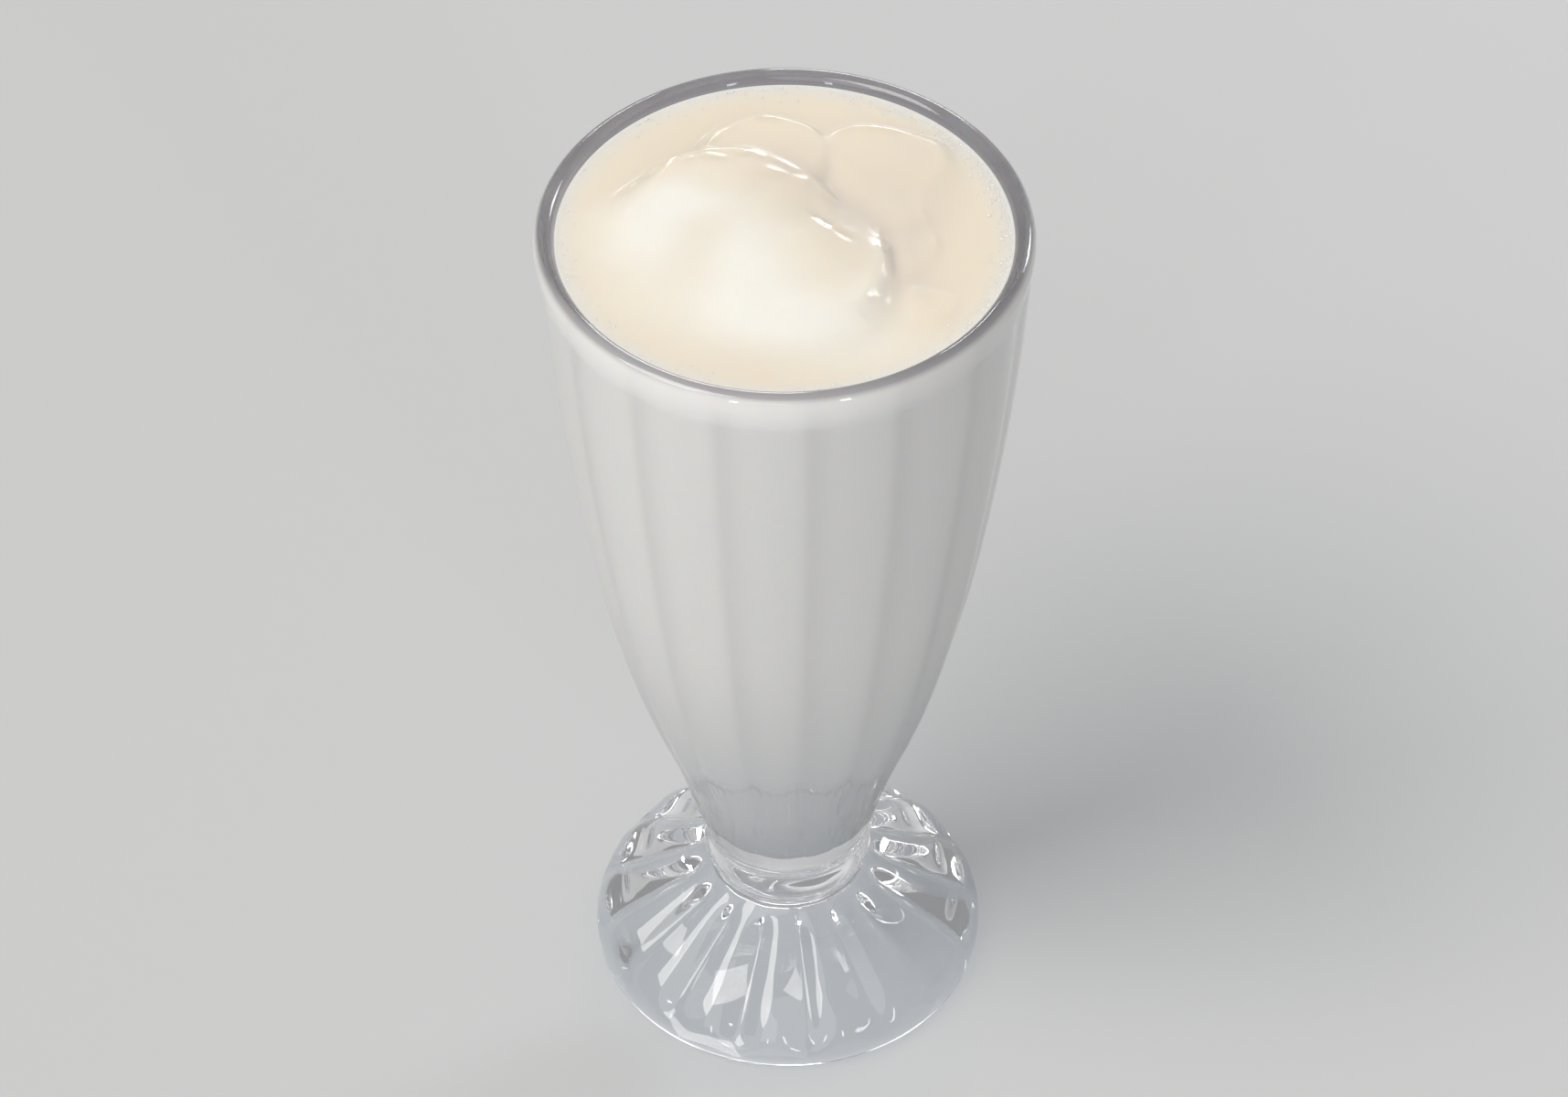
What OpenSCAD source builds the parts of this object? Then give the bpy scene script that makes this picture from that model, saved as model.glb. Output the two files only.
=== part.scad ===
// Vanilla milkshake in a tall fluted glass on a round lobed foot.
// Millimetres, +Z up. The origin is the centre of the ring the foot rests on.
// -Y is the front. The glass is one pressed piece; the drink is a second solid
// that fills it to just under the lip and rises into a soft lumpy mound.

/* [Glass] */
// Height from the table to the top of the lip
glass_h = 188; // [170:1:204]
// Outside diameter of the mouth, across the rounded lip
mouth_d = 88; // [80:0.5:96]
// Diameter of the foot
foot_d = 76.6; // [68:0.2:86]
// Largest diameter of the collar between bowl and foot
collar_d = 32.8; // [29:0.2:38]
// Thickness of the wall at the lip
wall_t = 3.7; // [2.6:0.1:5]
// Extra thickness of the wall at the bottom of the cavity
wall_extra = 0.6; // [0:0.1:1.5]
// Height of the cavity floor above the table
cavity_floor = 35.3; // [30:0.1:42]
// Height of the hollow under the foot
hollow_h = 14.2; // [6:0.1:17]

/* [Flutes and lobes] */
// Number of flutes round the bowl and of lobes round the foot
flute_count = 16; // [10:1:20]
// Turn of the first groove from the front
groove_turn = 6.3; // [0:0.1:22.4]
// Depth of the grooves between the flutes of the bowl
flute_depth = 0.8; // [0:0.05:1.3]
// Depth of the grooves between the lobes of the foot
lobe_depth = 1.6; // [0:0.05:2.4]

/* [Drink] */
// Level of the drink at the wall, below the top of the lip
level_drop = 2.1; // [1.5:0.1:12]
// Height of the main mound above the level
mound_h = 6.2; // [0:0.1:8]
// Clearance between the drink and the glass
drink_gap = 0.05; // [0.02:0.01:0.1]

/* [Part] */
// Piece to draw

/* [Hidden] */
GLASS_COLOR = [0.82, 0.86, 0.88, 0.45];
DRINK_COLOR = [0.93, 0.88, 0.79];

// Turns within one flute, as shares of its pitch, and how deep the groove is there
TURNS = [[0, 1], [0.15, 0.49], [0.5, 0], [0.85, 0.49]];
PITCH = 360 / flute_count;
SPOKES = [
    for (k = [0:flute_count - 1], t = TURNS)
        [-90 + groove_turn + (k + t[0]) * PITCH, t[1]]
];

// Outside of the foot from the table up to the collar:
// [share of the foot's radius, height, share of the groove depth]
FOOT = [
    [0.958, 0.0, 0], [0.987, 0.5, 0], [1.000, 2.2, 0], [0.998, 5.0, 0.1],
    [0.977, 7.0, 0.5], [0.926, 9.0, 0.9], [0.840, 11.3, 1], [0.740, 13.8, 1],
    [0.630, 16.6, 1], [0.520, 19.4, 0.8], [0.440, 21.5, 0.35]
];
// Part of the groove that runs inward and downward on the sloping foot
FOOT_IN = 0.57;
FOOT_DOWN = 0.82;

// Outside of the collar: [share of the collar's radius, height]
COLLAR = [[0.920, 22.6], [0.966, 24.0], [1.000, 27.0], [0.994, 30.2], [0.972, 32.6]];

// Crest line of the bowl: [share of the glass height, share of the mouth radius]
BOWL = [
    [0.185, 0.374], [0.202, 0.397], [0.223, 0.421], [0.250, 0.452],
    [0.277, 0.485], [0.309, 0.528], [0.351, 0.589], [0.394, 0.644],
    [0.436, 0.692], [0.484, 0.740], [0.543, 0.790], [0.617, 0.841],
    [0.697, 0.889], [0.777, 0.928], [0.856, 0.959], [0.941, 0.985],
    [0.959, 0.989], [0.972, 0.993]
];
GROOVE_FROM = 0.178;
GROOVE_FULL = 0.223;
GROOVE_FADE = 0.942;
GROOVE_END = 0.960;

// Hollow under the foot: [share of the foot's radius, share of its height]
HOLLOW = [[0.34, 0.94], [0.58, 0.71], [0.76, 0.45], [0.875, 0.17], [0.905, 0]];

// Lumps of the drink's top: [x, y, half length, half width, turn, share of mound_h]
LUMPS = [
    [-9, -4, 29, 24, -27, 1.00],
    [-4, 19, 15, 12, 5, 0.62],
    [17, 14, 17, 14, -10, 0.55],
    [22, 0, 8, 10, 20, 0.34],
    [25, -19, 8, 6, -20, 0.24]
];
LUMP_BLEND = 4;
DRINK_RINGS = 8;

mouth_r = mouth_d / 2;
foot_r = foot_d / 2;
collar_r = collar_d / 2;
lip_r = wall_t / 2;
level = glass_h - level_drop;
cavity_top = glass_h - lip_r;

// Rises smoothly from 0 at a to 1 at b
function ease(a, b, v) =
    let (u = min(1, max(0, (v - a) / (b - a))))
    u * u * (3 - 2 * u);

// Share of the groove depth at a share of the glass height
function groove(h) = ease(GROOVE_FROM, GROOVE_FULL, h) * (1 - ease(GROOVE_FADE, GROOVE_END, h));

// One ring of points: radius, height, and how far a groove moves it in and down
function ring(r, h, into = 0, down = 0) = [
    for (s = SPOKES)
        let (q = r - into * s[1])
        [q * cos(s[0]), q * sin(s[0]), h - down * s[1]]
];

// Radius of the cavity at a share of the glass height
function cavity_r(h) =
    lookup(h, BOWL) * mouth_r - wall_t - wall_extra * (1 - ease(0.28, 0.75, h));

// Rings of the cavity from its rounded floor up to the lip, moved in by gap
function cavity_rings(gap) = concat(
    [
        for (a = [30, 58, 80])
            ring((cavity_r(0.25) - gap) * sin(a), cavity_floor + gap + 9 * (1 - cos(a)))
    ],
    [for (i = [3:2:len(BOWL) - 1]) ring(cavity_r(BOWL[i][0]) - gap, BOWL[i][0] * glass_h)]
);

// Rings of the lip, from the outside over the top to the inside
function lip_rings() = [
    for (a = [0:45:180])
        ring(mouth_r - lip_r + lip_r * cos(a), cavity_top + lip_r * sin(a))
];

// Joins a list of rings, closed by a pole at each end, into one solid
module skin(rings, first_pole, last_pole) {
    n = len(rings[0]);
    m = len(rings);
    points = concat([first_pole], [for (g = rings, p = g) p], [last_pole]);
    faces = concat(
        [for (i = [0:n - 1]) [0, 1 + (i + 1) % n, 1 + i]],
        [
            for (j = [0:m - 2], i = [0:n - 1], half = [0, 1])
                let (
                    a = 1 + j * n + i,
                    b = 1 + j * n + (i + 1) % n,
                    c = a + n,
                    d = b + n
                )
                half == 0 ? [a, b, d] : [a, d, c]
        ],
        [for (i = [0:n - 1]) [1 + (m - 1) * n + i, 1 + (m - 1) * n + (i + 1) % n, m * n + 1]]
    );
    polyhedron(points = points, faces = faces, convexity = 8);
}

// Pressed glass: hollow, foot, collar, bowl, lip and cavity in one skin
module glass() {
    hollow = [for (s = HOLLOW) ring(s[0] * foot_r, s[1] * hollow_h)];
    foot = [
        for (s = FOOT)
            let (d = lobe_depth * s[2])
            ring(s[0] * foot_r, s[1], d * FOOT_IN, d * FOOT_DOWN)
    ];
    collar = [for (s = COLLAR) ring(s[0] * collar_r, s[1])];
    bowl = [for (s = BOWL) ring(s[1] * mouth_r, s[0] * glass_h, flute_depth * groove(s[0]))];
    cavity = cavity_rings(0);
    inside = [for (i = [len(cavity) - 1:-1:0]) cavity[i]];
    color(GLASS_COLOR)
        skin(
            concat(hollow, foot, collar, bowl, lip_rings(), inside),
            [0, 0, hollow_h],
            [0, 0, cavity_floor]
        );
}

// Height of one lump at a point, a soft dome over a turned ellipse
function lump(s, x, y) =
    let (
        u = ((x - s[0]) * cos(s[4]) + (y - s[1]) * sin(s[4])) / s[2],
        v = ((y - s[1]) * cos(s[4]) - (x - s[0]) * sin(s[4])) / s[3],
        d = u * u + v * v
    )
    d < 1 ? s[5] * mound_h * pow(1 - d, 0.8) : 0;

// Height of the drink's top above its level: the lumps melted into each other
function relief(x, y) =
    pow([for (s = LUMPS) pow(lump(s, x, y), LUMP_BLEND)] * [for (s = LUMPS) 1], 1 / LUMP_BLEND);

// Drink: fills the cavity, meets the wall in a thin curve and rises into the mound
module milkshake() {
    edge_r = cavity_r(BOWL[len(BOWL) - 1][0]) - drink_gap;
    sides = concat(cavity_rings(drink_gap), [ring(edge_r + 0.05, level + 0.3)]);
    top = [
        for (j = [DRINK_RINGS:-1:1])
            let (r = (edge_r - 1.2) * j / DRINK_RINGS)
            [for (p = ring(r, level)) [p[0], p[1], level + relief(p[0], p[1])]]
    ];
    color(DRINK_COLOR)
        skin(
            concat(sides, top),
            [0, 0, cavity_floor + drink_gap],
            [0, 0, level + relief(0, 0)]
        );
}

glass();
milkshake();
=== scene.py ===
import math

import bpy
import numpy as np
from mathutils import Euler, Matrix, Vector


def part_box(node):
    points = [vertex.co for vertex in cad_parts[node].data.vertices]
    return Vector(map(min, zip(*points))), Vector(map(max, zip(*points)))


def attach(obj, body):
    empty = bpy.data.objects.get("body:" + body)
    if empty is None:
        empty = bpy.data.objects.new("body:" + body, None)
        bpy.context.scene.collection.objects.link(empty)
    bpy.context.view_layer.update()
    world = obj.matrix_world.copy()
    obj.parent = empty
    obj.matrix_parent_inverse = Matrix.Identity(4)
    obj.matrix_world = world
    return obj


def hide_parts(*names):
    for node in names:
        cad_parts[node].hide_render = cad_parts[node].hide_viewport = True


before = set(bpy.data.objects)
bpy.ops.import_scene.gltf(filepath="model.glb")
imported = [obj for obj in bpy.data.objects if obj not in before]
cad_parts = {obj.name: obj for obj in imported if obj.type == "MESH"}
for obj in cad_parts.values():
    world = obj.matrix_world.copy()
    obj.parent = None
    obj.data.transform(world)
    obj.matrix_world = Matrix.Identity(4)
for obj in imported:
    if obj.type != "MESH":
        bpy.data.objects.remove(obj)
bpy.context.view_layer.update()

scene = bpy.context.scene


# ---------------------------------------------------------------- Glass
# One piece of clear pressed glass: a fluted tulip bowl on a short collar
# and a domed foot of round lobes, hollow underneath. The lip and the edge
# of the foot are fire-polished round.
LOW, HIGH = (Vector(corner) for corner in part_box("glass"))
GLASS_HEIGHT = 188.0
MM = (HIGH.z - LOW.z) / GLASS_HEIGHT
MOUTH_R = 44.0
LIP_R = 1.85
LIP_Z = GLASS_HEIGHT - LIP_R

# The wall, and what is added to it low down: all of it below the first height,
# none of it above the second. Pairs like this one, here and further on, say
# between which two values something changes.
WALL = 3.7
WALL_EXTRA = 0.6
WALL_THICKENS = (52, 140)

# Flutes and lobes, with the turn of the first groove from the front
FLUTES = 16
GROOVE_TURN = 6.3
FLUTE_DEPTH = 0.85
FLUTE_STARTS = (36, 60)
FLUTE_ENDS = (179, 182.6)
LOBE_DEPTH = 1.9
LOBE_STARTS = (15.6, 20.5)
LOBE_RISES = (4.4, 7.4)

# Under the lip the shoulders of a flute spread, so that it ends in a low arch
ARCH_SPREAD = 0.30
ARCH_FROM = (170, 181)

# Radius and height, in millimetres, from the middle of the hollow under the
# foot, round its edge, up the outside to the lip
HOLLOW = [
    (0, 14.2), (7, 13.9), (13, 13.2), (19, 11.6), (24.5, 9.0), (29.0, 5.9), (32.2, 3.0), (34.2, 0.6),
]
FOOT = [
    (35.2, 0.0), (36.4, 0.05), (37.5, 0.6), (38.2, 1.9), (38.3, 3.4), (38.05, 5.2),
    (37.2, 7.2), (35.2, 9.3), (32.2, 11.5), (28.3, 14.0), (24.1, 16.8), (20.0, 19.4),
    (17.0, 21.3), (15.6, 22.2),
]
COLLAR = [
    (15.05, 22.75), (15.1, 23.3), (15.75, 24.6), (16.3, 26.6), (16.4, 28.4),
    (16.25, 30.4), (15.95, 32.2), (15.95, 33.4),
]
BOWL = [
    (16.4, 35.0), (17.45, 38.0), (18.5, 41.8), (19.9, 47.0), (21.3, 52.2), (23.2, 58.1),
    (25.9, 66.0), (28.35, 74.1), (30.45, 82.0), (32.5, 91.0), (34.75, 102.0), (37.0, 116.0),
    (39.05, 131.0), (40.8, 146.0), (42.2, 161.0), (43.2, 175.0), (43.45, 180.0), (43.7, 183.0),
]
FOOT_EDGE_Z = 1.0
FOOT_TOP_Z = 22.4
COLLAR_TOP_Z = 33
TURNED_UNDER = -0.2


def smooth_line(knots, step, closed=False):
    """Points about a step apart on a smooth curve through the knots, and the knot count at each."""
    k = np.array(knots, float)
    n = len(k)
    spans = n if closed else n - 1
    points, at = [], []
    for i in range(spans):
        if closed:
            a, b, c, d = (k[(i + j) % n] for j in (-1, 0, 1, 2))
        else:
            b, c = k[i], k[i + 1]
            a = k[i - 1] if i > 0 else 2 * b - c
            d = k[i + 2] if i + 2 < n else 2 * c - b
        length = np.linalg.norm((c - b)[:2])
        ta, tb, td = (
            max(np.linalg.norm((q - p)[:2]) ** 0.5, 1e-6) for p, q in ((a, b), (b, c), (c, d))
        )
        m1 = (c - b) + tb * ((b - a) / ta - (c - a) / (ta + tb))
        m2 = (c - b) + tb * ((d - c) / td - (d - b) / (tb + td))
        count = max(1, int(round(length / step)))
        for s in range(count):
            u = s / count
            points.append(
                (2 * u**3 - 3 * u**2 + 1) * b + (u**3 - 2 * u**2 + u) * m1
                + (3 * u**2 - 2 * u**3) * c + (u**3 - u**2) * m2
            )
            at.append(i + u)
    if not closed:
        points.append(k[-1])
        at.append(n - 1)
    return np.array(points), np.array(at)


def ease(a, b, v):
    """0 below a, 1 above b, smooth between."""
    u = np.clip((np.asarray(v, float) - a) / (b - a), 0, 1)
    return u * u * (3 - 2 * u)


def wall_inside(height):
    """Radius of the cavity wall at a height, from the crest line less the wall."""
    crest = np.interp(height, [z for r, z in BOWL], [r for r, z in BOWL])
    return crest - WALL - WALL_EXTRA * (1 - ease(*WALL_THICKENS, height))


LIP = [
    (MOUTH_R - LIP_R + LIP_R * math.cos(a), LIP_Z + LIP_R * math.sin(a))
    for a in np.radians([0, 30, 60, 90, 120, 150, 180])
]
CAVITY = [(float(wall_inside(z)), z) for z in (178, 166, 150, 134, 118, 102, 88, 74, 62, 53, 46.5)]
CAVITY += [(12.7, 41.5), (10.6, 38.2), (7.6, 36.3), (4.0, 35.5), (0, 35.3)]

# Below the round of the lip the cavity wall is plain, so it keeps one ring in three
RING_STEP = 1.2
ROUND_RINGS = 6
PLAIN_STEP = 3
outline, _ = smooth_line(HOLLOW + FOOT + COLLAR + BOWL + LIP + CAVITY, RING_STEP)
lip_top = int(np.argmax(outline[:, 1]))
plain_from = lip_top + ROUND_RINGS
last_ring = len(outline) - 1
outline = outline[np.r_[0:plain_from, plain_from:last_ring:PLAIN_STEP, last_ring]]

tangent = np.gradient(outline, axis=0)
tangent /= np.linalg.norm(tangent, axis=1)[:, None]
outward = np.stack([tangent[:, 1], -tangent[:, 0]], axis=1)
radius, height = outline.T
outside = np.arange(len(outline)) < lip_top
on_bowl = outside & (height > COLLAR_TOP_Z)
on_foot = outside & (height < FOOT_TOP_Z) & (height > FOOT_EDGE_Z) & (outward[:, 1] > TURNED_UNDER)

# How deep the groove is along the outline, and how far its shoulders spread
flute = ease(*FLUTE_STARTS, height) * (1 - ease(*FLUTE_ENDS, height))
lobe = ease(*LOBE_STARTS, radius) * ease(*LOBE_RISES, height)
depth = np.where(on_bowl, FLUTE_DEPTH * flute, 0)
depth = np.where(on_foot, LOBE_DEPTH * lobe, depth)
spread = np.where(on_bowl, ARCH_SPREAD * ease(*ARCH_FROM, height) ** 2, 0)

# Turns of the points round one flute, closer together near its groove
TURNS_PER_FLUTE = 18
CROWDING = 0.05
steps = np.arange(TURNS_PER_FLUTE) / TURNS_PER_FLUTE
steps = steps - CROWDING * np.sin(2 * math.pi * steps)
from_groove = np.tile(1 - np.abs(1 - 2 * steps), FLUTES)
angles = np.concatenate([(k + steps) / FLUTES for k in range(FLUTES)]) * 2 * math.pi
angles += math.radians(GROOVE_TURN - 90)


def groove_shape(u, soft):
    """1 in the middle of a groove, where u is 0, and 0 on the crest of a flute, where u is 1."""
    v = np.sqrt(u * u + soft * soft)
    v = (v - soft) / (np.sqrt(1 + soft * soft) - soft)
    return (1 - v) ** 2


def turned(name, rings_r, rings_z, angles):
    """A closed skin of rings of points; the first and last ring are single points on the axis."""
    n, m = rings_r.shape[1], rings_r.shape[0] - 2
    x, y = rings_r[1:-1] * np.cos(angles), rings_r[1:-1] * np.sin(angles)
    points = np.stack([x, y, rings_z[1:-1]], axis=2).reshape(-1, 3)
    points = np.vstack([[0, 0, rings_z[0, 0]], points, [0, 0, rings_z[-1, 0]]]) * MM
    ring = np.arange(n)
    step = (ring + 1) % n
    base = 1 + np.arange(m - 1)[:, None] * n
    quads = np.stack([base + ring, base + step, base + n + step, base + n + ring], axis=2)
    faces = [(0, 1 + b, 1 + a) for a, b in zip(ring, step)]
    faces += quads.reshape(-1, 4).tolist()
    last = 1 + (m - 1) * n
    faces += [(last + a, last + b, m * n + 1) for a, b in zip(ring, step)]
    mesh = bpy.data.meshes.new(name)
    mesh.from_pydata(points.tolist(), [], [tuple(f) for f in faces])
    mesh.shade_smooth()
    piece = bpy.data.objects.new(name, mesh)
    scene.collection.objects.link(piece)
    return piece


LOBE_SOFT = 0.16
FLUTE_SOFT = 0.13
reach = np.clip((from_groove[None, :] - spread[:, None]) / (1 - spread[:, None]), 0, 1)
cut = depth[:, None] * groove_shape(reach, np.where(on_foot, LOBE_SOFT, FLUTE_SOFT)[:, None])
into = np.where(on_bowl[:, None], cut, cut * outward[:, 0:1])
down = np.where(on_bowl[:, None], 0, cut * outward[:, 1:2])
glass = turned("glass_body", radius[:, None] - into, height[:, None] - down, angles)


def spots_of(piece):
    """Where each point of a piece is, in millimetres."""
    return np.array([v.co[:] for v in piece.data.vertices]).T / MM


def add_layer(piece, name, values):
    """A named number for each point of a piece, which its material reads."""
    layer = piece.data.attributes.new(name, "FLOAT", "POINT")
    layer.data.foreach_set("value", values.astype(np.float32))


def new_material(name):
    """An empty node material with its Principled shader and output."""
    material = bpy.data.materials.new(name)
    material.use_nodes = True
    tree = material.node_tree
    tree.nodes.clear()
    shader = tree.nodes.new("ShaderNodeBsdfPrincipled")
    output = tree.nodes.new("ShaderNodeOutputMaterial")
    tree.links.new(shader.outputs["BSDF"], output.inputs["Surface"])
    return material, tree, shader, output


def new_noise(tree, scale, detail):
    """Noise that is fixed to the piece."""
    place = tree.nodes.new("ShaderNodeTexCoord")
    noise = tree.nodes.new("ShaderNodeTexNoise")
    noise.inputs["Scale"].default_value = scale
    noise.inputs["Detail"].default_value = detail
    tree.links.new(place.outputs["Object"], noise.inputs["Vector"])
    return noise.outputs["Fac"]


def uneven(tree, shader, noise, strength, distance):
    """Makes a surface slightly uneven by a noise."""
    bump = tree.nodes.new("ShaderNodeBump")
    bump.inputs["Strength"].default_value = strength
    bump.inputs["Distance"].default_value = distance
    tree.links.new(noise, bump.inputs["Height"])
    tree.links.new(bump.outputs["Normal"], shader.inputs["Normal"])


# Clear glass, with faint waves left by the mould. Painted shade darkens the lip on its
# top and inner side, standing in for dark surroundings seen through it, and its outer skin is clear.
CLEAR_GLASS = (0.88, 0.88, 0.888, 1)
PAINTED_LIP_SHADE = (0.215, 0.2, 0.224, 1)
THROUGH_GLASS = (0.9, 0.92, 0.94, 1)
LIP_DARKENS = (183.6, 186.0)
OUTER_SKIN = (1.1, 0.2)

x, y, z = spots_of(glass)
outer = ease(MOUTH_R - OUTER_SKIN[0], MOUTH_R - OUTER_SKIN[1], np.hypot(x, y))
# Painted shade on the lip, on its top and inner side but not on its outer skin
add_layer(glass, "lip_shade", ease(*LIP_DARKENS, z) * (1 - outer))

clear, tree, shader, output = new_material("clear_pressed_glass")
edge = tree.nodes.new("ShaderNodeAttribute")
edge.attribute_name = "lip_shade"
# The glass colour turns to the painted lip shade by that mask
tint = tree.nodes.new("ShaderNodeValToRGB")
tint.color_ramp.elements[0].color = CLEAR_GLASS
tint.color_ramp.elements[1].color = PAINTED_LIP_SHADE
tree.links.new(edge.outputs["Fac"], tint.inputs["Fac"])
tree.links.new(tint.outputs["Color"], shader.inputs["Base Color"])
shader.inputs["Roughness"].default_value = 0.01
shader.inputs["IOR"].default_value = 1.5
shader.inputs["Transmission Weight"].default_value = 1.0
mould_waves = new_noise(tree, scale=55.0, detail=1.0)
uneven(tree, shader, mould_waves, strength=0.12, distance=0.0004)

# Lamps shine through the glass on the drink and the floor
path = tree.nodes.new("ShaderNodeLightPath")
open_way = tree.nodes.new("ShaderNodeBsdfTransparent")
open_way.inputs["Color"].default_value = THROUGH_GLASS
seen = shader
for ray in ("Is Diffuse Ray", "Is Shadow Ray"):
    either = tree.nodes.new("ShaderNodeMixShader")
    tree.links.new(path.outputs[ray], either.inputs["Fac"])
    tree.links.new(seen.outputs[0], either.inputs[1])
    tree.links.new(open_way.outputs["BSDF"], either.inputs[2])
    seen = either
tree.links.new(seen.outputs[0], output.inputs["Surface"])
glass.data.materials.append(clear)

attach(glass, "root")
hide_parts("glass")


# ---------------------------------------------------------------- Milkshake
# Thick blended vanilla ice cream and milk, poured to just under the lip.
# Its top is a half-sunk mound of soft folds with wet, shiny creases.
LEVEL_DROP = 2.1
LEVEL = GLASS_HEIGHT - LEVEL_DROP

# How far the drink reaches into the wall, below the level and at it, so that
# no air gap shows
REACH = 0.25
EDGE_REACH = 0.1
EDGE_R = float(wall_inside(BOWL[-1][1])) + EDGE_REACH

# The top is worked out on a square grid that covers the mouth
GRID_MM = 0.2
GRID_HALF = 42.0
line = np.arange(-GRID_HALF, GRID_HALF + GRID_MM / 2, GRID_MM)
gx, gy = np.meshgrid(line, line, indexing="ij")


def soften(field, mm):
    """Gaussian blur of a height field."""
    reach_cells = int(3 * mm / GRID_MM) + 1
    k = np.exp(-0.5 * (np.arange(-reach_cells, reach_cells + 1) * GRID_MM / mm) ** 2)
    k /= k.sum()
    padded = np.pad(field, reach_cells, mode="edge")
    rows = sum(w * padded[i:i + field.shape[0], :] for i, w in enumerate(k))
    return sum(w * rows[:, i:i + field.shape[1]] for i, w in enumerate(k))


def swellings(base, spots):
    """Soft round swellings on a base; each spot is x, y, half length, half width, turn, height."""
    total = np.zeros_like(gx) + base
    for x, y, long, wide, turn, high in spots:
        c, s = math.cos(math.radians(turn)), math.sin(math.radians(turn))
        u = ((gx - x) * c + (gy - y) * s) / long
        v = ((gy - y) * c - (gx - x) * s) / wide
        total += high * np.exp(-0.5 * (u * u + v * v))
    return total


# A fold's side is round where it is narrower than the first of these widths, and
# an even slope where it is wider than the second
GENTLE_SIDE = (3.0, 6.5)
ROUND_FOOT = 2.2
ROUND_SHOULDER = 0.6
BORDER_STEP = 0.5
BORDER_BLEND = 1.5


def fold(border, top):
    """A lump of thick drink inside a closed border of (x, y, width over which its side rises)."""
    edge, _ = smooth_line(border, BORDER_STEP, closed=True)
    near = np.full(gx.shape, 1e9)
    width = np.ones(gx.shape)
    inside = np.zeros(gx.shape, bool)
    for p, q in zip(edge, np.roll(edge, -1, axis=0)):
        away = (gx - p[0]) ** 2 + (gy - p[1]) ** 2
        closer = away < near
        near[closer] = away[closer]
        width[closer] = p[2]
        if p[1] != q[1]:
            crosses = (p[1] > gy) != (q[1] > gy)
            at_x = p[0] + (gy - p[1]) / (q[1] - p[1]) * (q[0] - p[0])
            inside ^= crosses & (gx < at_x)
    width = soften(width, BORDER_BLEND)
    t = np.clip(np.sqrt(near) / width, 0, 1)
    round_side = (1 - (1 - t) ** ROUND_FOOT) ** ROUND_SHOULDER
    steep = 1 - ease(*GENTLE_SIDE, width)
    rise = steep * round_side + (1 - steep) * ease(0, 1, t)
    return np.where(inside, rise, 0) * top


LINE_STEP = 0.3


def along(points, wide, seed):
    """1 on a line and 0 away from it, uneven and fading at the ends as thick drink folds."""
    path, at = smooth_line(points, LINE_STEP)
    ends = np.sin(math.pi * np.clip(at / at[-1], 0.02, 0.98)) ** 0.5
    wobble = np.clip(0.6 + 0.7 * np.sin(at * 2.9 + seed) * np.sin(at * 1.3 + 2 * seed), 0.1, 1)
    total = np.zeros_like(gx)
    for (px, py), e, w in zip(path, ends, wobble):
        d2 = (gx - px) ** 2 + (gy - py) ** 2
        total = np.maximum(total, e * w * np.exp(-0.5 * d2 / wide**2))
    return total


def melt(a, b, fillet=0.35):
    """The higher of two fields, joined by a small fillet."""
    return 0.5 * (a + b + np.sqrt((a - b) ** 2 + fillet * fillet)) - 0.5 * fillet


main = fold(
    [
        (-29.5, 13.5, 8.0), (-25, 17.2, 5.5), (-19.5, 20.0, 3.0), (-12.7, 22, 2.1), (-6, 21.9, 1.9),
        (1.5, 18.2, 1.8), (6.6, 13.8, 2.2), (10.4, 9.6, 5.5), (14.2, 6.4, 9.0), (17.4, 2.4, 7.0),
        (18.6, -5, 3.6), (19.6, -13, 5.0), (20.3, -19, 8.0), (17.5, -27, 11.0), (8, -33.0, 14.0),
        (-6, -34.5, 15.0), (-20, -31, 17.0), (-33, -21, 18.0), (-39, -6, 17.0), (-38, 6, 14.0),
    ],
    swellings(
        2.0,
        [
            (-12, 7, 14, 9, -25, 2.1), (-2, -14, 15, 8, -25, 1.8), (-25, 0, 7, 8, 0, 0.7),
            (8, 4, 8, 9, -40, -1.2), (-14, -3, 9, 4.5, 78, -0.45),
        ],
    ),
)
back = fold(
    [
        (-16, 15, 3.0), (-15.8, 22, 2.4), (-12.2, 28.0, 2.0), (-4.9, 31.5, 1.8), (2, 30.3, 1.8),
        (6.6, 26.8, 1.5), (8.8, 21.5, 2.5), (8, 15, 4.0), (2, 10, 5.0), (-8, 11, 5.0),
    ],
    swellings(1.8, [(-3, 21, 8, 6, 0, 0.7)]),
)
right = fold(
    [
        (6.4, 24.8, 2.0), (10.5, 28.6, 1.7), (14.5, 29.4, 1.6), (20, 27.9, 1.6), (25, 26.0, 1.8),
        (29.5, 24.4, 3.2), (34.5, 18, 9.0), (35, 8, 13.0), (31, -1, 12.0), (20, -3, 8.0),
        (12, 4, 8.0), (6, 12, 7.0),
    ],
    swellings(1.5, [(16, 18, 9, 6, 0, 0.5)]),
)
side = fold(
    [
        (19.2, 3, 2.5), (23.2, 6, 2.0), (25.9, 1.5, 1.5), (27.4, -4, 2.2), (25, -9.5, 4.0),
        (21.5, -11, 3.0), (19.6, -5, 2.0),
    ],
    0.6,
)
small = fold(
    [
        (21.6, -13.2, 1.6), (25.5, -14.0, 1.5), (30, -16.4, 2.0), (31, -21, 5.0), (26.5, -26.5, 6.0),
        (21.5, -24, 5.0), (20.6, -17, 2.5),
    ],
    0.8,
)
SMALL_FILLET = 0.2
FOLDS_MELT = 0.5
relief = melt(melt(back, right), melt(side, small, SMALL_FILLET))
relief = melt(relief, main)
relief = soften(relief, FOLDS_MELT)

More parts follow.
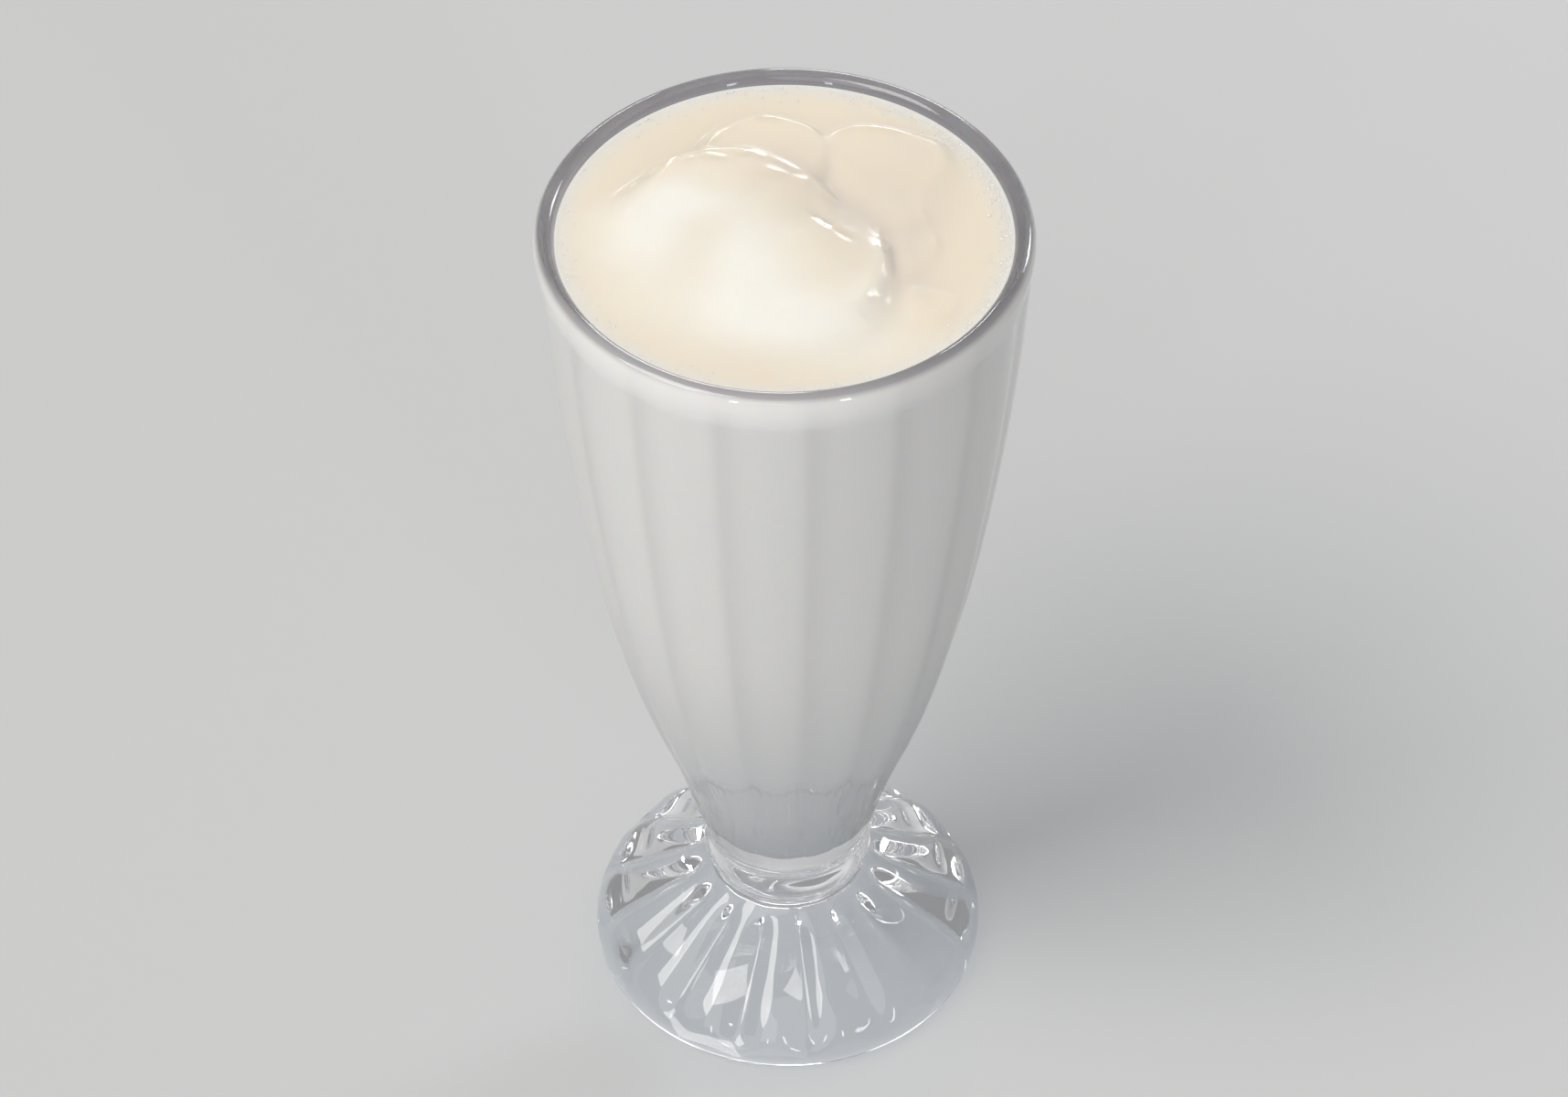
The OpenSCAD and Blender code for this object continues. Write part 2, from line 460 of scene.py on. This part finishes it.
# Thin ridges (above 0) and furrows (below 0) where one fold of drink lies on the
# next: line, height, width, how wet it shines
CREASES = [
    ([(-28.5, 11.0), (-26, 13.0), (-23, 14.6)], 0.45, 0.5, 1),
    ([(-24, 15.4), (-20, 17.6), (-15.5, 19.4), (-10.5, 20.2), (-5, 19.8)], 0.35, 0.6, 1),
    ([(-18, 16.4), (-14.5, 18.0), (-10.5, 17.4)], 0.45, 0.45, 1),
    ([(-5.2, 15.2), (-1.5, 13.8), (3.4, 12.0)], 0.6, 0.85, 1),
    ([(2.4, 12.9), (6, 10.6), (10.4, 7.4)], 0.5, 0.5, 1),
    ([(-3.0, 18.2), (1, 15.8), (5, 12.2), (8.8, 8.4)], 0.3, 0.36, 1),
    ([(-8.4, 19.0), (-5.6, 18.9), (-3.6, 17.6)], 0.35, 0.45, 1),
    ([(3.4, 5.6), (6.6, 2.6), (9, 0), (12.4, -3.6)], -0.4, 0.6, 1),
    ([(16.4, 2.0), (16.5, -1), (16.8, -5), (17.2, -10.5)], 0.4, 0.42, 1),
    ([(17.9, 0.0), (18.2, -4), (18.4, -8)], 0.2, 0.4, 0.9),
    ([(23.4, 5.8), (25.4, 1.8), (26.6, -4)], 0.45, 0.6, 1),
    ([(-17.5, 19.5), (-14.6, 24.4), (-9.5, 28.6)], 0.35, 0.45, 1),
    ([(-14.6, 20.5), (-12.2, 24.6), (-8.4, 27.6)], 0.3, 0.4, 0.9),
    ([(-8, 29.6), (-4, 30.2), (1, 29.2), (5, 27.2)], 0.3, 0.5, 1),
    ([(7.4, 25.6), (12, 27.8), (18, 27.2), (25, 25.2), (30.5, 22.6)], 0.3, 0.55, 1),
    ([(9, -21.5), (12.5, -22.0), (15.5, -24.5)], 0.2, 0.45, 0.8),
    ([(12.6, -17.4), (15.0, -18.4), (16.6, -17.2)], 0.2, 0.4, 0.8),
]
WET_WIDE = 1.1
CREASES_MELT = 0.2
wet = np.zeros_like(gx)
for seed, (points, high, wide, shine) in enumerate(CREASES, 1):
    relief += high * along(points, wide, seed)
    wet = np.maximum(wet, shine * along(points, WET_WIDE, seed))
relief = soften(relief, CREASES_MELT)

# Small soft unevenness (width, height), which the mound has in full where it is
# this high, a slow swell of the level, and a flat border at the wall
LUMPS = [(2.2, 0.11), (4.0, 0.2)]
LUMPY_MELT = 2.0
LUMPY_FROM_HIGH = 3.0
SLOW_SWELL = 0.11
QUICK_SWELL = 0.05
FLAT_BORDER = (0.6, 6.0)
draw = np.random.default_rng(7)
lumpy = np.zeros_like(gx)
for wide, high in LUMPS:
    lumps = soften(draw.standard_normal(gx.shape), wide)
    lumpy += high * lumps / lumps.std()
relief += lumpy * np.clip(soften(main, LUMPY_MELT) / LUMPY_FROM_HIGH, 0, 1)
relief += SLOW_SWELL * np.sin(gx / 9.0 + 0.7) * np.cos(gy / 11.0 - 0.4)
relief += QUICK_SWELL * np.sin(gx / 4.1 - gy / 5.3)
relief = relief * ease(*FLAT_BORDER, EDGE_R - np.hypot(gx, gy))


def sample(field, x, y):
    """Bilinear reading of a grid field."""
    fx, fy = (x + GRID_HALF) / GRID_MM, (y + GRID_HALF) / GRID_MM
    ix, iy = np.floor(fx).astype(int), np.floor(fy).astype(int)
    ix, iy = np.clip(ix, 0, field.shape[0] - 2), np.clip(iy, 0, field.shape[1] - 2)
    tx, ty = fx - ix, fy - iy
    return (
        field[ix, iy] * (1 - tx) * (1 - ty) + field[ix + 1, iy] * tx * (1 - ty)
        + field[ix, iy + 1] * (1 - tx) * ty + field[ix + 1, iy + 1] * tx * ty
    )


# Where the drink meets the wall it climbs in a thin curve
CLIMB_HIGH = 0.22
CLIMB_WIDE = 0.5


def drink_top(x, y):
    """Height of the drink's top at a place."""
    climb = CLIMB_HIGH * np.exp(-(EDGE_R - np.hypot(x, y)) / CLIMB_WIDE)
    return LEVEL + sample(relief, x, y) + climb


# The skin runs from the rounded floor of the cavity up the wall and in to the
# middle of the top, with three close rings where it turns at the edge
SPOKES_PER_FLUTE = 32
AROUND = FLUTES * SPOKES_PER_FLUTE
FLOOR_KNOTS = 6
FLOOR_STEP = 1.0
SIDE_STEP = 8.0
TOP_RINGS = 142
TOP_CROWDING = 0.95
EDGE_RINGS = np.array([0.02, 0.12, 0.25])
EDGE_CLEAR = 0.3
EDGE_RISE = 0.2

spokes = np.arange(AROUND) / AROUND * 2 * math.pi + math.radians(GROOVE_TURN - 90)
upward = CAVITY[::-1]
bottom, _ = smooth_line(upward[:FLOOR_KNOTS], FLOOR_STEP)
sides, _ = smooth_line(upward[FLOOR_KNOTS - 1:] + [(EDGE_R, LEVEL + EDGE_RISE)], SIDE_STEP)
skin_line = np.vstack([bottom[:-1], sides])
slope = np.gradient(skin_line, axis=0)
slope /= np.linalg.norm(slope, axis=1)[:, None]
skin_line = skin_line + REACH * np.stack([slope[:, 1], -slope[:, 0]], axis=1)
skin_line[0, 0] = 0
side_r = np.repeat(skin_line[:, 0:1], AROUND, axis=1)
side_z = np.repeat(skin_line[:, 1:2], AROUND, axis=1)
top_radii = EDGE_R * (1 - np.linspace(0, 1, TOP_RINGS)[1:] ** TOP_CROWDING)
top_radii = np.concatenate([EDGE_R - EDGE_RINGS, top_radii[top_radii < EDGE_R - EDGE_CLEAR]])
top_r = np.repeat(top_radii[:, None], AROUND, axis=1)
top_z = drink_top(top_r * np.cos(spokes), top_r * np.sin(spokes))
drink = turned("milkshake_body", np.vstack([side_r, top_r]), np.vstack([side_z, top_z]), spokes)

# Pale patches of the mound: paler ice cream, and painted light on its lit front and left
# slopes and on a whitish ridge, with a little painted shade in one furrow. Painted shade in the
# hollows between the folds: drawn ones, and wherever the top lies lower than round about (over what
# width, how strongly)
PALE_AND_LIT_SPOTS = [
    (-24.5, -2, 6.5, 7.5, 10, 0.95), (-1, -23.5, 15, 5.8, -11, 1.05), (-6, -9.5, 7, 6, -40, 0.85),
    (-18, 5.5, 4.5, 3, -15, 0.55), (-9, 4, 9, 5, -30, 0.42), (14, -17, 4, 5, 0, 0.35),
    (17.0, -4.5, 1.3, 6, 0, 0.45), (-14, -2, 9, 2.6, 78, -0.12),
]
# Painted shade in the hollows between the folds, the drawn ones
CREASE_SHADE_SPOTS = [
    (9, 8, 10, 5, -35, 0.33), (21, -7, 3, 8, 0, 0.24), (16, 15, 9, 6, -10, 0.16),
    (0, 17.5, 6, 2.5, -25, 0.2), (13, -3, 3.5, 7, 0, 0.28), (9, 1, 6, 3, -30, 0.15),
    (23, 4, 4, 9, 0, 0.16), (23, -12.5, 3, 3, 0, 0.25), (-5, 22, 9, 4, 0, 0.08),
    (25, 24, 6, 4, -20, 0.25),
]
LOWER_THAN_ROUND = [(1.2, 0.5), (4.0, 0.12)]
CREASE_SHADE_FULL = 0.6
pale_and_lit = swellings(0, PALE_AND_LIT_SPOTS)
hollow = sum(share * (soften(relief, wide) - relief) for wide, share in LOWER_THAN_ROUND)
hollow = swellings(hollow, CREASE_SHADE_SPOTS)

# A soft darker line of painted shade on the drink behind each groove, wider on its right side
GROOVE_LINE_LEFT = 1.2
GROOVE_LINE_RIGHT = 2.3
GROOVE_LINE_FROM = (40, 62)
GROOVE_LINE_TO = (180.5, 181.5)
FROTH_WIDE = 2.2
FROTH_FALL = 1.5
# Painted shade on the drink behind the glass, darker towards the bottom of the bowl, between these
# heights
LOW_DOWN = (38, 120)

x, y, z = spots_of(drink)
from_middle = np.hypot(x, y)
on_top = (from_middle < EDGE_R - 0.01) & (z > LEVEL - 0.5)
turn = (np.degrees(np.arctan2(y, x)) + 90 - GROOVE_TURN) * FLUTES / 360
off_groove = (turn - np.round(turn)) * 2 * math.pi * from_middle / FLUTES
line_wide = np.where(off_groove < 0, GROOVE_LINE_LEFT, GROOVE_LINE_RIGHT)
groove_shade_line = np.exp(-0.5 * (off_groove / line_wide) ** 2)
groove_shade_line *= ease(*GROOVE_LINE_FROM, z) * (1 - ease(*GROOVE_LINE_TO, z))
froth_band = np.exp(-(np.maximum(EDGE_R - from_middle, 0) / FROTH_WIDE) ** FROTH_FALL)
layers = {
    "pale": np.where(on_top, np.clip(sample(pale_and_lit, x, y), 0, 1), 0),
    "hollow": np.where(on_top, np.clip(sample(hollow, x, y) / CREASE_SHADE_FULL, 0, 1), 0),
    "wet": np.where(on_top, sample(wet, x, y), 0),
    "by_wall": np.where(on_top, froth_band, 1),
    "through_glass": np.where(on_top, 0, 1),
    "groove_shade_line": np.where(on_top, 0, groove_shade_line),
    "low_down": np.where(on_top, 0, 1 - ease(*LOW_DOWN, z)),
}
for name, values in layers.items():
    add_layer(drink, name, values)

cream, tree, shader, _ = new_material("vanilla_milkshake")
shader.inputs["IOR"].default_value = 1.36
shader.inputs["Subsurface Weight"].default_value = 0.5
shader.inputs["Subsurface Radius"].default_value = (1.0, 0.75, 0.45)
shader.inputs["Subsurface Scale"].default_value = 0.002
shader.inputs["Coat Roughness"].default_value = 0.05
cloud = new_noise(tree, scale=70.0, detail=3.0)


def mask(name, plus_cloud=0.0):
    """A layer of the drink, made uneven by the cloud noise."""
    read = tree.nodes.new("ShaderNodeAttribute")
    read.attribute_name = name
    if not plus_cloud:
        return read.outputs["Fac"]
    centred = tree.nodes.new("ShaderNodeMath")
    centred.operation = "MULTIPLY_ADD"
    centred.inputs[1].default_value = plus_cloud
    centred.inputs[2].default_value = -plus_cloud / 2
    tree.links.new(cloud, centred.inputs[0])
    total = tree.nodes.new("ShaderNodeMath")
    total.use_clamp = True
    tree.links.new(read.outputs["Fac"], total.inputs[0])
    tree.links.new(centred.outputs["Value"], total.inputs[1])
    return total.outputs["Value"]


def toward(colour, next_colour, share):
    """One colour changing to the next by a mask."""
    blend = tree.nodes.new("ShaderNodeMix")
    blend.data_type = "RGBA"
    for socket, value in (("A", colour), ("B", next_colour)):
        socket = [i for i in blend.inputs if i.name == socket and i.type == "RGBA"][0]
        if isinstance(value, tuple):
            socket.default_value = (*value, 1)
        else:
            tree.links.new(value, socket)
    tree.links.new(share, blend.inputs[0])
    return [o for o in blend.outputs if o.type == "RGBA"][0]


# The level is creamy and the mound paler, partly paler ice cream and partly painted light; painted
# shade darkens the hollows, and the drink is frothy at the wall. Behind the glass it has a cooler
# white, painted light for the cool light on its side, with painted shade in the grooves and low down
LEVEL_CREAM = (0.80, 0.712, 0.572)
PALE_AND_LIT_CREAM = (0.875, 0.85, 0.78)
PAINTED_CREASE_SHADE = (0.705, 0.63, 0.54)
WALL_FOAM = (0.755, 0.735, 0.685)
PAINTED_COOL_SIDE = (0.88, 0.855, 0.815)
GROOVE_SHADE = (0.80, 0.775, 0.74)
LOW_SHADE = (0.65, 0.65, 0.652)
# The mound's paler cream, which is also painted light on its lit slopes
colour = toward(LEVEL_CREAM, PALE_AND_LIT_CREAM, mask("pale", 0.3))
# Painted shade in the hollows and creases of the top
colour = toward(colour, PAINTED_CREASE_SHADE, mask("hollow", 0.1))
colour = toward(colour, WALL_FOAM, mask("by_wall"))
# Behind the glass: a cooler white as painted light, with painted shade at the grooves
behind = toward(PAINTED_COOL_SIDE, GROOVE_SHADE, mask("groove_shade_line", 0.1))
# Painted shade, darker towards the bottom of the bowl
behind = toward(behind, LOW_SHADE, mask("low_down"))
colour = toward(colour, behind, mask("through_glass"))
tree.links.new(colour, shader.inputs["Base Color"])

MATT_DRINK = 0.5
WET_DRINK = 0.16
gloss = tree.nodes.new("ShaderNodeMapRange")
gloss.inputs["To Min"].default_value = MATT_DRINK
gloss.inputs["To Max"].default_value = WET_DRINK
tree.links.new(mask("wet"), gloss.inputs["Value"])
tree.links.new(gloss.outputs["Result"], shader.inputs["Roughness"])
tree.links.new(mask("wet"), shader.inputs["Coat Weight"])
grain = new_noise(tree, scale=900.0, detail=2.0)
uneven(tree, shader, grain, strength=0.05, distance=0.0002)
drink.data.materials.append(cream)

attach(drink, "root")
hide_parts("milkshake")


# ---------------------------------------------------------------- Foam bubbles
# Fine air bubbles from the blender, gathered in the curve where the drink
# meets the glass, mostly on the right; each is a small wet dome.
BUBBLES = 620
BUBBLE_SIDES = 8
BUBBLE_RINGS = 4
BUBBLE_FACES = BUBBLE_SIDES * BUBBLE_RINGS
SQUASH = 0.45

# Most gather round one direction (the middle and its spread, in degrees) and the
# rest are all round; nearest to the wall, spread and farthest; smallest and
# largest radius, and how much larger some are
GATHERED = (18, 26)
GATHERED_SHARE = 0.62
NEAREST = 0.25
NEAR_SPREAD = 1.5
FARTHEST = 5
BUBBLE_SIZE = (0.07, 0.17)
BUBBLE_LARGER = 0.04

# A few larger ones at the back, with the directions that they lie in
LARGE_TURNS = (103.6, 105.2, 90.6, 131.0)
LARGE_FROM_WALL = 0.45
LARGE_SIZE = 0.33

bubble_points, bubble_faces = [], []


def add_bubble(turn, from_wall, size):
    """One squashed ball, half sunk in the surface of the drink."""
    x, y = (EDGE_R - from_wall) * math.cos(turn), (EDGE_R - from_wall) * math.sin(turn)
    at = np.array([x, y, float(drink_top(x, y))])
    high = SQUASH * size
    first = len(bubble_points)
    bubble_points.append(at - (0, 0, high))
    for ring in range(1, BUBBLE_RINGS):
        up = math.pi * ring / BUBBLE_RINGS
        out = size * math.sin(up)
        for side in range(BUBBLE_SIDES):
            way = 2 * math.pi * side / BUBBLE_SIDES
            step = (out * math.cos(way), out * math.sin(way), -high * math.cos(up))
            bubble_points.append(at + step)
    bubble_points.append(at + (0, 0, high))
    last = first + 1 + (BUBBLE_RINGS - 2) * BUBBLE_SIDES
    for side in range(BUBBLE_SIDES):
        beside = (side + 1) % BUBBLE_SIDES
        bubble_faces.append((first, first + 1 + beside, first + 1 + side))
        for ring in range(BUBBLE_RINGS - 2):
            low = first + 1 + ring * BUBBLE_SIDES
            above = low + BUBBLE_SIDES
            bubble_faces.append((low + side, low + beside, above + beside, above + side))
        bubble_faces.append((last + side, last + beside, len(bubble_points) - 1))


draw = np.random.default_rng(21)
shares = [GATHERED_SHARE, 1 - GATHERED_SHARE]
while len(bubble_faces) < BUBBLES * BUBBLE_FACES:
    turn = math.radians(draw.choice([draw.normal(*GATHERED), draw.uniform(0, 360)], p=shares))
    from_wall = NEAREST + abs(draw.normal(0, NEAR_SPREAD))
    if from_wall < FARTHEST:
        size = draw.uniform(*BUBBLE_SIZE) + draw.exponential(BUBBLE_LARGER)
        add_bubble(turn, from_wall, size)
for turn in LARGE_TURNS:
    add_bubble(math.radians(turn), LARGE_FROM_WALL, LARGE_SIZE)

foam_mesh = bpy.data.meshes.new("foam_bubbles")
foam_mesh.from_pydata((np.array(bubble_points) * MM).tolist(), [], bubble_faces)
foam_mesh.shade_smooth()
foam = bpy.data.objects.new("foam_bubbles", foam_mesh)
scene.collection.objects.link(foam)

DULL_FROTH = (0.78, 0.74, 0.67, 1)
PALE_FROTH = (0.90, 0.88, 0.83, 1)
froth, tree, shader, _ = new_material("wet_froth")
shader.inputs["Roughness"].default_value = 0.14
shader.inputs["IOR"].default_value = 1.34
shader.inputs["Coat Weight"].default_value = 0.6
shader.inputs["Coat Roughness"].default_value = 0.04
tone = tree.nodes.new("ShaderNodeValToRGB")
tone.color_ramp.elements[0].color = DULL_FROTH
tone.color_ramp.elements[1].color = PALE_FROTH
tree.links.new(new_noise(tree, scale=1500.0, detail=2.0), tone.inputs["Fac"])
tree.links.new(tone.outputs["Color"], shader.inputs["Base Color"])
foam_mesh.materials.append(froth)

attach(foam, "root")


# ---------------------------------------------------------------- Floor
# A plain pale table top, much larger than the view, a hair below the ring
# that the foot rests on.
FLOOR_HALF = 4
FLOOR_GAP = 0.0002
FLOOR_GREY = (0.56, 0.56, 0.56, 1)
floor_mesh = bpy.data.meshes.new("floor")
corners = [(x * FLOOR_HALF, y * FLOOR_HALF, 0) for x, y in ((-1, -1), (1, -1), (1, 1), (-1, 1))]
floor_mesh.from_pydata(corners, [], [(0, 1, 2, 3)])
floor = bpy.data.objects.new("floor", floor_mesh)
scene.collection.objects.link(floor)
floor.location.z = LOW.z - FLOOR_GAP
tabletop, tree, shader, _ = new_material("pale_floor")
shader.inputs["Base Color"].default_value = FLOOR_GREY
shader.inputs["Roughness"].default_value = 0.6
floor_mesh.materials.append(tabletop)


# ---------------------------------------------------------------- Lights
# A large soft lamp from the upper left and a weaker one from the front. Two
# narrow windows in front make the small bright panes on the lobes, and three
# low ones at the back and side make the glints in the folds.
def lamp(name, place, aim_at, size, watts, colour=(1, 1, 1)):
    """A soft lamp of a given width and height at a place, facing a point."""
    light = bpy.data.lights.new(name, "AREA")
    light.shape = "RECTANGLE"
    light.size, light.size_y = size
    light.energy = watts
    light.color = colour
    holder = bpy.data.objects.new(name, light)
    scene.collection.objects.link(holder)
    holder.location = place
    holder.rotation_euler = (Vector(aim_at) - Vector(place)).to_track_quat("-Z", "Y").to_euler()


MIDDLE = (0, 0, 0.12)
TOP = (0, 0, 0.18)
lamp("key", (-2.48, -1.20, 4.08), MIDDLE, (2.6, 2.6), 139, (1.0, 0.98, 0.95))
lamp("front_fill", (-1.40, -3.80, 3.40), MIDDLE, (3.6, 3.6), 56, (1.0, 0.99, 0.98))
lamp("right_window", (0.42, -0.95, 0.50), MIDDLE, (0.08, 0.3), 0.9, (0.88, 0.94, 1.0))
lamp("left_window", (-0.36, -0.98, 0.42), MIDDLE, (0.06, 0.25), 0.6, (0.9, 0.95, 1.0))
lamp("back_window", (0.48, 3.72, 1.06), TOP, (1.12, 1.12), 24)
lamp("back_left_window", (-0.60, 2.76, 1.20), TOP, (0.39, 0.39), 5.0)
lamp("side_window", (0.58, 0.62, 0.66), TOP, (0.18, 0.18), 1.7, (0.94, 0.97, 1.0))

# Even light from all round, and enough bounces for light that turns round and
# round inside the lobes of the foot
STUDIO_GREY = (0.635, 0.64, 0.65, 1)
STUDIO_STRENGTH = 0.5
BOUNCES = 24
world = bpy.data.worlds.new("studio")
world.use_nodes = True
world.node_tree.nodes["Background"].inputs["Color"].default_value = STUDIO_GREY
world.node_tree.nodes["Background"].inputs["Strength"].default_value = STUDIO_STRENGTH
scene.world = world
scene.view_settings.view_transform = "Standard"
scene.cycles.max_bounces = BOUNCES
scene.cycles.transmission_bounces = BOUNCES
scene.cycles.glossy_bounces = BOUNCES


# ---------------------------------------------------------------- Camera
# A long lens looking down from the front at about 46 degrees, so that the
# whole top of the drink and the front of the glass are seen together.
CAMERA_AT = (-0.0004, -0.653, 0.777)
CAMERA_PITCH = 44.29
CAMERA_ROLL = -0.3
LENS_MM = 115.45
SENSOR_MM = 36.0

camera = bpy.data.objects.new("camera", bpy.data.cameras.new("camera"))
scene.collection.objects.link(camera)
camera.data.sensor_width = SENSOR_MM
camera.data.lens = LENS_MM
camera.data.clip_start = 0.02
camera.data.clip_end = 30.0
camera.location = CAMERA_AT
aim = Euler((math.radians(CAMERA_PITCH), 0, 0)).to_matrix()
roll = Matrix.Rotation(math.radians(CAMERA_ROLL), 3, "Z")
camera.rotation_euler = (aim @ roll).to_euler()
scene.camera = camera
